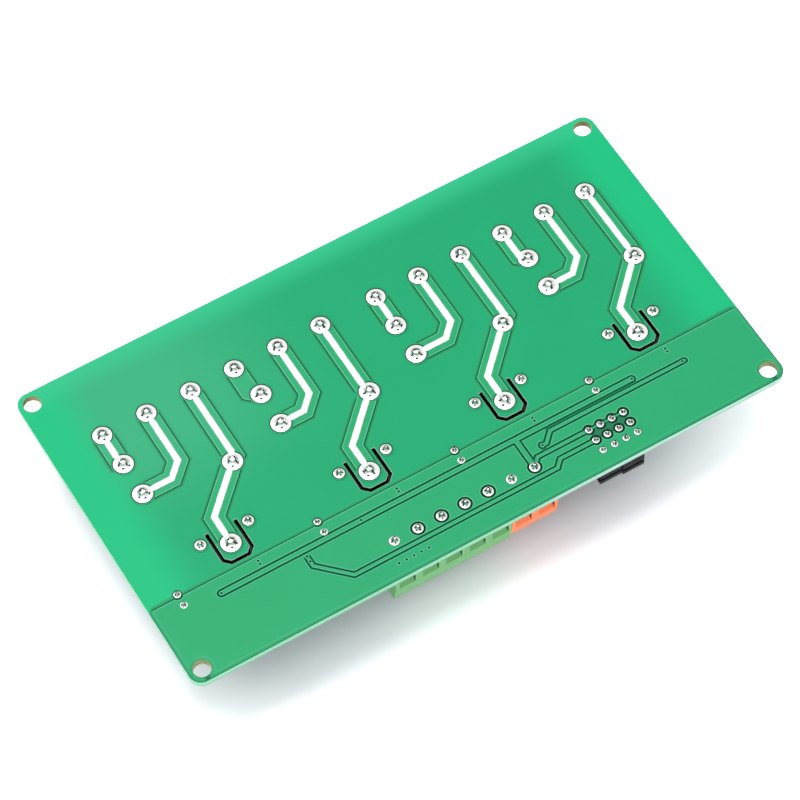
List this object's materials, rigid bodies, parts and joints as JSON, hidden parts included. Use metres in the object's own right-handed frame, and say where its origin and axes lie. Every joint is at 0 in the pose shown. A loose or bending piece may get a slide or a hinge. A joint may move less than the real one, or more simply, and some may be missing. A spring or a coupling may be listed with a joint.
{
  "type": "relay module board",
  "caption": "Flat green circuit board shown solder side up, carried by the tops of its box-shaped relays, with screw terminals, jumpers and tinned tracks.",
  "frame": {"origin": "centre of the mounting-hole pattern, on the solder face of the board", "axes": "+X along the board, +Y across it towards the output strips, +Z out of the solder face"},
  "size_m": [0.1284, 0.0716, 0.0229],
  "materials": {
    "laminate": "green solder mask over glass-fibre laminate, glossy",
    "masked_copper": "copper under green solder mask, glossy",
    "solder": "bright tin solder",
    "relay_case": "moulded, satin",
    "tinned_metal": "tin plated",
    "strip_plastic": "moulded, satin",
    "plated_brass": "plated",
    "nickel_steel": "nickel plated",
    "green_plastic": "moulded, satin",
    "orange_plastic": "moulded, satin",
    "black_plastic": "moulded, satin",
    "red_lens": "tinted clear epoxy, polished",
    "moulded_epoxy": "moulded epoxy, matt"
  },
  "bodies": {
    "root": {"board": "laminate", "ground_plane": "masked_copper", "power_tracks": "masked_copper", "signal_tracks": "masked_copper", "tinned_strips": "solder", "output_joints": "solder", "contact_joints": "solder", "coil_joints": "solder", "led_joints": "solder", "input_joints": "solder", "header_joints": "solder", "relay_1": "relay_case", "relay_2": "relay_case", "relay_3": "relay_case", "relay_4": "relay_case", "relay_pins_1": "tinned_metal", "relay_pins_2": "tinned_metal", "relay_pins_3": "tinned_metal", "relay_pins_4": "tinned_metal", "output_strip_1": "strip_plastic", "output_strip_2": "strip_plastic", "contact_plates": "plated_brass", "clamping_washers": "nickel_steel", "output_screws": "nickel_steel", "input_block_1": "green_plastic", "input_block_2": "green_plastic", "supply_block": "orange_plastic", "wire_cages": "nickel_steel", "cage_screws": "nickel_steel", "input_pins": "tinned_metal", "header_base": "black_plastic", "header_pins": "plated_brass", "jumper_cap_1": "black_plastic", "jumper_cap_2": "black_plastic", "jumper_cap_3": "black_plastic", "jumper_cap_4": "black_plastic", "jumper_clips": "plated_brass", "led_1": "red_lens", "led_2": "red_lens", "led_3": "red_lens", "led_4": "red_lens", "led_leads": "tinned_metal", "optocoupler_1": "moulded_epoxy", "optocoupler_2": "moulded_epoxy", "optocoupler_3": "moulded_epoxy", "optocoupler_4": "moulded_epoxy", "optocoupler_legs": "tinned_metal", "transistors": "moulded_epoxy", "transistor_legs": "tinned_metal", "diodes": "moulded_epoxy", "diode_tabs": "tinned_metal", "resistors": "moulded_epoxy", "resistor_ends": "tinned_metal"}
  },
  "joints": []
}
